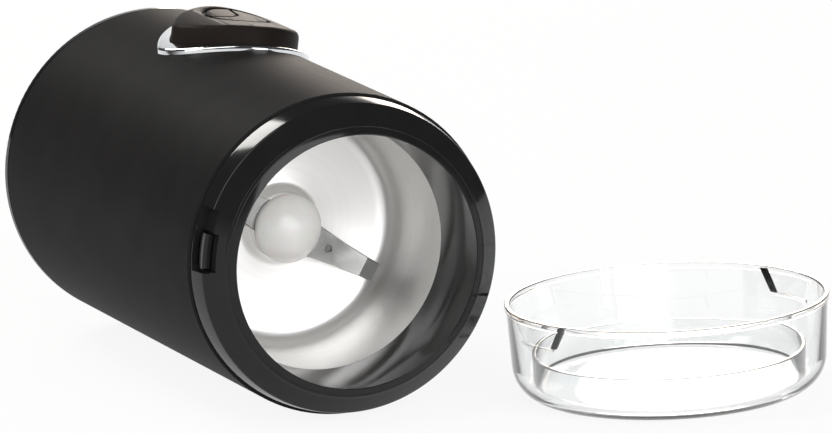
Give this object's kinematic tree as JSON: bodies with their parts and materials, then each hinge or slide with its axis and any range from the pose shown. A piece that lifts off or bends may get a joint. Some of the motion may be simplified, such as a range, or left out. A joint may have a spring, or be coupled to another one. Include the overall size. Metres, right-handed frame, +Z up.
{
  "type": "electric coffee grinder",
  "caption": "Hand-held electric blade coffee grinder with a push button and steel bowl, lying on its side, with its clear lid upside down beside it.",
  "frame": {"origin": "bottom centre of the whole group, on the surface that the body and the lid lie on", "axes": "+X along the body axis towards the open mouth, +Y towards the lid, +Z up"},
  "size_m": [0.2212, 0.176, 0.0961],
  "materials": {
    "soft_touch_black": "matt soft-touch paint on moulded plastic",
    "gloss_black": "polished black ABS",
    "button_black": "satin moulded plastic",
    "chrome": "bright chrome plating",
    "stainless": "satin stainless steel",
    "opal_white": "opal white moulded plastic",
    "clear_lid": "clear polished SAN",
    "black_rubber": "matt rubber",
    "grey_plastic": "moulded glass-filled nylon",
    "bare_steel": "ground steel",
    "lamination_steel": "stacked sheet steel",
    "copper": "enamelled copper",
    "bronze": "sintered bronze",
    "carbon": "pressed carbon",
    "capacitor_blue": "moulded box capacitor"
  },
  "bodies": {
    "housing": {"body_shell": "soft_touch_black", "rim_ring": "gloss_black", "base_cover": "gloss_black", "button_bezel": "chrome", "grinding_bowl": "stainless", "base_feet": "black_rubber", "bowl_gasket": "black_rubber", "shaft_seal": "black_rubber", "cord_inlet": "black_rubber", "inner_frame": "grey_plastic", "lower_bracket": "grey_plastic", "brush_holders": "grey_plastic", "power_switch": "grey_plastic", "switch_bracket": "grey_plastic", "interlock_switch": "grey_plastic", "terminal_block": "grey_plastic", "base_screws": "bare_steel", "motor_screws": "bare_steel", "brush_springs": "bare_steel", "button_spring": "bare_steel", "interlock_spring": "bare_steel", "stator_core": "lamination_steel", "field_coils": "copper", "upper_bearing": "bronze", "lower_bearing": "bronze", "carbon_brushes": "carbon", "suppressor_capacitor": "capacitor_blue"},
    "rotor": {"motor_shaft": "bare_steel", "armature_core": "lamination_steel", "armature_windings": "copper", "commutator": "copper", "cooling_fan": "grey_plastic", "blade": "stainless", "blade_hub": "opal_white"},
    "button": {"button": "button_black"},
    "lever": {"switch_lever": "bare_steel"},
    "interlock": {"interlock_tab": "gloss_black"},
    "lid": {"lid": "clear_lid"}
  },
  "joints": [
    {"name": "blade_spin", "type": "hinge", "parent": "housing", "child": "rotor", "pos_m": [-0.00095, -0.043, 0.045], "axis": [1, 0, 0], "continuous": true},
    {"name": "button_press", "type": "slide", "parent": "housing", "child": "button", "axis": [0, -0.1642, -0.9864], "range_m": [0, 0.0025], "stiffness_N_per_m": 400, "springref_m": -0.004, "deforming": ["button_spring"]},
    {"name": "lever_swing", "type": "hinge", "parent": "housing", "child": "lever", "pos_m": [-0.08155, -0.03814, 0.0742], "axis": [0, 0.9864, -0.1642], "range_deg": [0, 16]},
    {"name": "interlock_slide", "type": "slide", "parent": "housing", "child": "interlock", "axis": [-1, 0, 0], "range_m": [0, 0.002], "stiffness_N_per_m": 300, "springref_m": -0.004, "deforming": ["interlock_spring"]},
    {"name": "lid_lift", "type": "slide", "parent": "housing", "child": "lid", "axis": [0, 0, 1], "range_m": [0, 0.12]}
  ],
  "couplings": [
    {"joint": "lever_swing", "follows": "button_press", "rad_per_m": 94.34}
  ]
}
